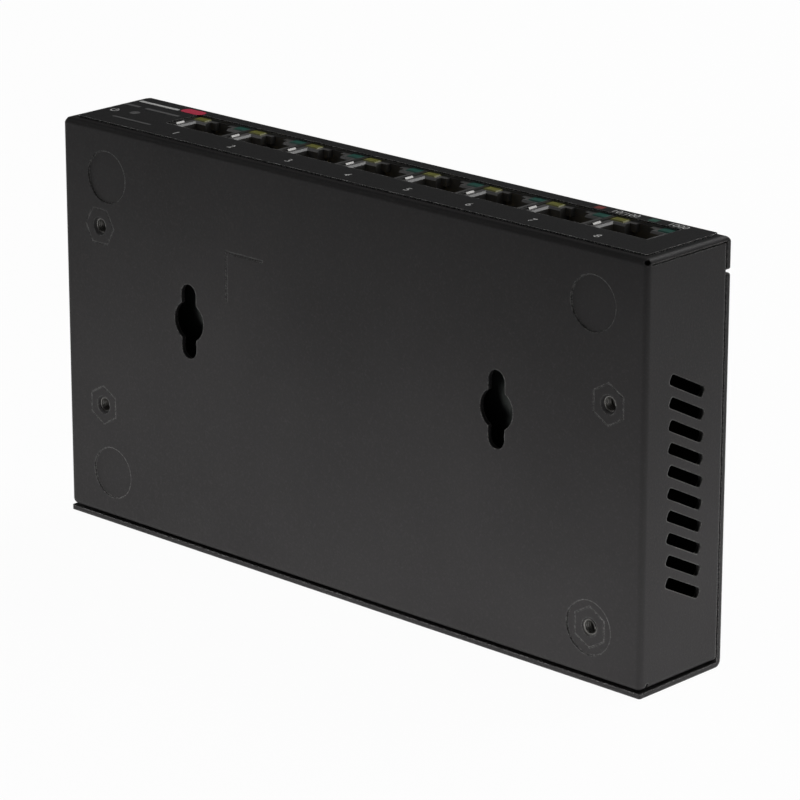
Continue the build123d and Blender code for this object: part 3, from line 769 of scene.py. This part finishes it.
class SWITCH_OT_film(bpy.types.Operator):
    """Finish the front film and print its numbers, badge and keys"""

    bl_idname = "ethernet_switch.film"
    bl_label = "Front film"

    def execute(self, context):
        film = context.scene.switch_film
        skin = Finish("printed_film", film.ground, film.roughness)
        grain = skin.noise(0.18 * MM, 3.0, 0.6)
        wave = skin.noise(9 * MM, 1.0, 0.4)
        tone = skin.mix(skin.ramp(grain, 0.55, 0.8), film.ground, varied(film.ground, 1.8))
        # Painted highlight, partly the cut film's own pale edge: light colour on the film's cut edges,
        # broken into specks like glints.
        edge = skin.near_edge(skin.soft_edge(FILM_EDGE))
        broken_glint = skin.ramp(skin.noise(0.4 * MM, 2.0, 0.7), 0.45, 0.58, 0.12, 1.0)
        skin.set("Base Color", skin.mix(skin.math("MULTIPLY", edge, broken_glint), tone, film.cut))
        skin.set("Roughness", skin.ramp(grain, 0.3, 0.7, film.roughness - 0.05, film.roughness + 0.08))
        skin.set("Specular IOR Level", 0.2)
        skin.set("Normal", skin.relief(grain, 0.006 * MM, 0.6, skin.relief(wave, 0.01 * MM, 0.5)))
        skin.cover("front_film")
        self.print_white(film)
        self.print_grey(film)
        badge = [(plain_mark(*BADGE), *BADGE_PLACE)]
        self.print_shapes(film, "print_red_badge", badge, film.red)
        keys = (
            ("print_red_key", RED_KEY_X, film.red_key),
            ("print_green_key", GREEN_KEY_X, film.green_key),
        )
        for name, x, tone in keys:
            square = flat_shape(rounded_bar(KEY_WIDTH, film.key_height, KEY_ROUND))
            self.print_shapes(film, name, [(square, x, self.key_mm(film))], tone)
        return {"FINISHED"}

    def key_mm(self, film):
        return film.key_level / MM

    def print_shapes(self, film, name, shapes, tone):
        """Joins flat shapes, each with its place on the panel in millimetres, as one ink."""
        placed = [(mesh, panel_place(x, level, film.lift)) for mesh, x, level in shapes]
        add_piece(name, joined(placed), ink(name + "_ink", tone).material)

    def print_white(self, film):
        """Port numbers, speed numbers, the bar in place of a name and the power sign."""
        shapes = []
        for number in PORTS:
            low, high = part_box(f"jack_shield_{number}")
            x = ((low.x + high.x) / 2 - film.number_shift) / MM
            shapes.append((words(str(number), film.number_height), x, film.number_level / MM))
        for text, x in (("10/100", SLOW_SPEED_X), ("1000", FAST_SPEED_X)):
            shapes.append((words(text, film.key_height), x, self.key_mm(film)))
        ring = flat_shape(ring_arc(RING_RADIUS, RING_WIDTH, *RING_DEGREES))
        shapes.append((plain_mark(*NAME_BAR), *NAME_BAR_PLACE))
        shapes.append((ring, *POWER_RING_PLACE))
        shapes.append((plain_mark(*POWER_STEM), *POWER_STEM_PLACE))
        self.print_shapes(film, "print_white", shapes, film.white)

    def print_grey(self, film):
        """Plain bars in place of words, and a disc over the power lamp."""
        shapes = [(plain_mark(*size), *place) for size, place in GREY_MARKS]
        self.print_shapes(film, "print_grey", shapes, film.grey)


class SWITCH_OT_jacks(bpy.types.Operator):
    """Finish the shields, housings, contacts and lamps of the port row"""

    bl_idname = "ethernet_switch.jacks"
    bl_label = "Port row"

    def execute(self, context):
        jacks = context.scene.switch_jacks
        shield = bare_metal("tinned_shield", jacks.shield, 0.4, 0.1 * MM, (1, 1, 8))
        shield.cover(*[f"jack_shield_{number}" for number in PORTS])
        housing = moulding("jack_moulding", jacks.housing, 0.42, 0.14 * MM)
        housing.cover(*[f"jack_housing_{number}" for number in PORTS])
        contact = bare_metal("gold_flash", jacks.contact, 0.25, 0.08 * MM, (1, 1, 6), 0.9)
        contact.cover(*[f"jack_contacts_{number}" for number in PORTS])
        lens("yellow_lens", jacks.yellow).cover("left_port_lamps")
        lens("green_lens", jacks.green).cover("right_port_lamps")
        return {"FINISHED"}


class SWITCH_OT_board(bpy.types.Operator):
    """Finish the circuit board and the parts on it, and add their leads"""

    bl_idname = "ethernet_switch.board"
    bl_label = "Board"

    def execute(self, context):
        self.finish_board()
        package = moulding("chip_package", PACKAGE, 0.5, 0.1 * MM, 1.8)
        package.cover("switch_chip", "magnetics_modules")
        bare_metal("extruded_fins", ALUMINIUM, 0.36, 0.09 * MM, (1, 1, 40)).cover("heat_sink")
        self.finish_cans()
        moulding("pressed_ferrite", FERRITE, 0.6, 0.3 * MM, 2.0).cover("power_inductor")
        tin = bare_metal("tinned_lead", TIN, 0.3, 0.1 * MM)
        tin.cover("crystal", "power_lamp_leads")
        self.add_leads(context.scene.switch_leads, tin.material)
        return {"FINISHED"}

    def finish_board(self):
        """Dark solder mask, a little lighter over the copper, and bare laminate edges."""
        board = Finish("solder_mask", SOLDER_MASK, 0.3)
        tracks = board.cells(2.4 * MM, (1, 1, 1.6))
        over_copper = board.ramp(tracks, 0.42, 0.46)
        weave = board.noise(0.5 * MM, 2.0, 0.5)
        tone = board.mix(over_copper, SOLDER_MASK, MASKED_COPPER)
        tone = board.mix(board.ramp(weave, 0.4, 0.7, 0.0, 0.3), tone, varied(SOLDER_MASK, 0.6))
        facing = board.axis(board.geometry.outputs["Normal"], "Y")
        flat = board.ramp(board.math("ABSOLUTE", facing), 0.4, 0.6)
        board.set("Base Color", board.mix(flat, LAMINATE, tone))
        board.set("Roughness", board.ramp(weave, 0.3, 0.7, 0.26, 0.4))
        board.set("Normal", board.relief(over_copper, 0.02 * MM, 0.8))
        board.cover("circuit_board")

    def finish_cans(self):
        """Bare cans on dark bases, with a dark mark on one side of their tops."""
        can = bare_metal("capacitor_can", CAN, 0.3, 0.12 * MM, (1, 8, 1))
        low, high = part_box("capacitors")
        level = can.axis(can.place, "Y")
        top = can.ramp(level, high.y - CAN_TOP[0], high.y - CAN_TOP[1])
        base = can.ramp(level, low.y + CAN_BASE[0], low.y + CAN_BASE[1])
        side = can.ramp(can.axis(can.place, "Z"), low.z + CAN_MARK[0], low.z + CAN_MARK[1])
        dark = can.math("MAXIMUM", can.math("MULTIPLY", top, side), base)
        can.set("Base Color", can.mix(dark, can.current("Base Color"), CAN_DARK))
        can.set("Metallic", can.math("SUBTRACT", 1.0, dark))
        can.cover("capacitors")

    def add_leads(self, leads, material):
        """Leads round the chip and along the long sides of the modules, as one piece."""
        points = []
        turns = []
        low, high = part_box("switch_chip")
        self.row(points, turns, low, high, leads.chip_leads, CHIP_PITCH, (0, 90, 180, 270))
        for low, high in self.module_boxes():
            self.row(points, turns, low, high, leads.module_leads, MODULE_PITCH, (0, 180))
        mesh = lead_tree(leads, material).grow("package_leads", points, turns)
        add_piece("package_leads", mesh, material)

    def module_boxes(self):
        """Box of each module. They share a node, and are alike and evenly spaced."""
        low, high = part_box("magnetics_modules")
        step = (high.x - low.x - MODULE_WIDTH) / (MODULES - 1)
        boxes = []
        for index in range(MODULES):
            left = low.x + index * step
            right = left + MODULE_WIDTH
            boxes.append((Vector((left, low.y, low.z)), Vector((right, high.y, high.z))))
        return boxes

    def row(self, points, turns, low, high, count, pitch, sides):
        """Lead roots along chosen sides of a package, with the angle of each."""
        middle = (low + high) / 2
        for side in sides:
            half = high.z - middle.z if side % 180 == 0 else high.x - middle.x
            angle = radians(side)
            out = Vector((sin(angle), 0, cos(angle)))
            along = Vector((cos(angle), 0, -sin(angle)))
            for index in range(count):
                offset = (index - (count - 1) / 2) * pitch
                root = middle + out * (half - LEAD_BITE) + along * offset
                points.append((root.x, low.y, root.z))
                turns.append(angle)


class SWITCH_OT_power(bpy.types.Operator):
    """Finish the power inlet, the power lamp and its holder"""

    bl_idname = "ethernet_switch.power"
    bl_label = "Power inlet and lamp"

    def execute(self, context):
        moulding("inlet_moulding", INLET, 0.38, 0.16 * MM).cover("inlet_body")
        nickel = bare_metal("nickel_plate", NICKEL, 0.2, 0.1 * MM, (1, 1, 5))
        nickel.cover("inlet_pin", "inlet_spring")
        lens("clear_lens", CLEAR_LENS, 0.15).cover("power_lamp")
        moulding("holder_moulding", LAMP_HOLDER, 0.45, 0.18 * MM).cover("power_lamp_holder")
        return {"FINISHED"}


class SWITCH_OT_stage(bpy.types.Operator):
    """Set up the floor, the lamps, the world and the camera"""

    bl_idname = "ethernet_switch.stage"
    bl_label = "Stage"

    def execute(self, context):
        stage = context.scene.switch_stage
        context.scene.view_settings.view_transform = "Standard"
        self.lay_floor(stage)
        self.make_world(context.scene, stage)
        self.hang_lamp("back_lamp", stage.back, (0.15, 0.75, 0.8), LAMP_AIM, (0.7, 0.7))
        self.hang_lamp("top_lamp", stage.top, (-0.6, -0.3, 0.62), LAMP_AIM, (0.3, 0.1))
        self.hang_lamp("key_lamp", stage.key, (0.47, -0.24, 0.89), LAMP_AIM, (0.12, 0.12))
        self.hang_strip("front_strip", stage.front, (0.06, -0.33, 0.012), (0.05, 0, 0), 0.34)
        self.hang_strip("right_strip", stage.right, (0.4, 0.2, 0.012), (0.08, 0, 0), 0.2)
        self.place_camera(context.scene, stage)
        return {"FINISHED"}

    def seen_rays(self, tree):
        """1 for what is seen straight, mirrored or through glass."""
        rays = tree.nodes.new("ShaderNodeLightPath")
        total = rays.outputs["Is Camera Ray"]
        for name in ("Is Glossy Ray", "Is Transmission Ray"):
            inputs = {0: total, 1: rays.outputs[name]}
            total = add_node(tree, "ShaderNodeMath", inputs, operation="MAXIMUM").outputs[0]
        return total

    def lay_floor(self, stage):
        """Paper floor, mostly plain white where the camera sees it."""
        reach = FLOOR_REACH
        mesh = bpy.data.meshes.new("floor")
        corners = [(-reach, -reach, 0), (reach, -reach, 0), (reach, reach, 0), (-reach, reach, 0)]
        mesh.from_pydata(corners, [], [(0, 1, 2, 3)])
        floor = put_in_scene("floor", mesh)
        floor.location.z = -FLOOR_DROP
        paper = Finish("pale_floor", stage.floor, 0.9)
        paper.set("Specular IOR Level", 0.0)
        white = paper.add("ShaderNodeEmission", {"Strength": 1.0})
        amount = paper.math("MULTIPLY", self.seen_rays(paper.tree), stage.backdrop)
        inputs = {0: amount, 1: paper.surface.outputs[0], 2: white.outputs[0]}
        blend = paper.add("ShaderNodeMixShader", inputs)
        output = paper.tree.nodes["Material Output"]
        feed(paper.tree, output.inputs["Surface"], blend.outputs[0])
        mesh.materials.append(paper.material)

    def make_world(self, scene, stage):
        """White round the horizon where it is seen or mirrored, with a darker ceiling."""
        world = bpy.data.worlds.new("studio")
        scene.world = world
        world.use_nodes = True
        tree = world.node_tree
        ambient = tree.nodes["Background"]
        ambient.inputs["Color"].default_value = (1, 1, 1, 1)
        ambient.inputs["Strength"].default_value = stage.ambient
        direction = tree.nodes.new("ShaderNodeTexCoord").outputs["Generated"]
        rise = add_node(tree, "ShaderNodeSeparateXYZ", {0: direction}).outputs["Z"]
        inputs = {0: rise, 1: HORIZON[0], 2: HORIZON[1], 3: 1.0, 4: stage.ceiling}
        glow = add_node(tree, "ShaderNodeMapRange", inputs).outputs[0]
        seen = add_node(tree, "ShaderNodeBackground", {"Color": glow, "Strength": 1.0})
        inputs = {0: self.seen_rays(tree), 1: ambient.outputs[0], 2: seen.outputs[0]}
        blend = add_node(tree, "ShaderNodeMixShader", inputs)
        feed(tree, tree.nodes["World Output"].inputs["Surface"], blend.outputs[0])

    def hang_lamp(self, name, watts, place, aim, size, spread=180):
        """Rectangular lamp turned to a point, its light within a spread in degrees."""
        light = bpy.data.lights.new(name, "AREA")
        light.shape = "RECTANGLE"
        light.size, light.size_y = size
        light.energy = watts
        light.spread = radians(spread)
        lamp = put_in_scene(name, light)
        lamp.location = place
        lamp.rotation_euler = (Vector(aim) - lamp.location).to_track_quat("-Z", "Y").to_euler()
        return lamp

    def hang_strip(self, name, watts, place, aim, width):
        """Low strip that is kept out of reflections."""
        strip = self.hang_lamp(name, watts, place, aim, (width, STRIP_HEIGHT), STRIP_SPREAD)
        strip.visible_glossy = False

    def place_camera(self, scene, stage):
        """Camera where the photograph was taken from."""
        data = bpy.data.cameras.new("camera")
        data.lens = stage.focal
        data.sensor_width = SENSOR_WIDTH
        data.clip_start = NEAR_CLIP
        camera = put_in_scene("camera", data)
        camera.location = Vector(CAMERA_PLACE) * MM
        camera.rotation_euler = Euler([radians(angle) for angle in CAMERA_TURN])
        scene.camera = camera


class SWITCH_PT_panel(bpy.types.Panel):
    """Lists the steps that dress the switch"""

    bl_idname = "SWITCH_PT_panel"
    bl_label = "Ethernet switch"
    bl_space_type = "VIEW_3D"
    bl_region_type = "UI"
    bl_category = "Switch"

    def draw(self, context):
        for step in STEPS:
            self.layout.operator(step.bl_idname)
        for name in SETTINGS:
            settings = getattr(context.scene, name)
            box = self.layout.box()
            box.label(text=type(settings).__doc__)
            for key in settings.__annotations__:
                box.prop(settings, key)


STEPS = (
    SWITCH_OT_case,
    SWITCH_OT_fasteners,
    SWITCH_OT_film,
    SWITCH_OT_jacks,
    SWITCH_OT_board,
    SWITCH_OT_power,
    SWITCH_OT_stage,
)

SETTINGS = {
    "switch_case": CaseSettings,
    "switch_film": FilmSettings,
    "switch_jacks": JackSettings,
    "switch_threads": ThreadSettings,
    "switch_leads": LeadSettings,
    "switch_stage": StageSettings,
}


def register():
    for settings in SETTINGS.values():
        bpy.utils.register_class(settings)
    for name, settings in SETTINGS.items():
        setattr(bpy.types.Scene, name, bpy.props.PointerProperty(type=settings))
    for step in STEPS:
        bpy.utils.register_class(step)
    bpy.utils.register_class(SWITCH_PT_panel)


def unregister():
    bpy.utils.unregister_class(SWITCH_PT_panel)
    for step in reversed(STEPS):
        bpy.utils.unregister_class(step)
    for name in SETTINGS:
        delattr(bpy.types.Scene, name)
    for settings in SETTINGS.values():
        bpy.utils.unregister_class(settings)


def main():
    register()
    for step in STEPS:
        name = step.bl_idname.split(".")[1]
        getattr(bpy.ops.ethernet_switch, name)()


if __name__ == "__main__":
    main()
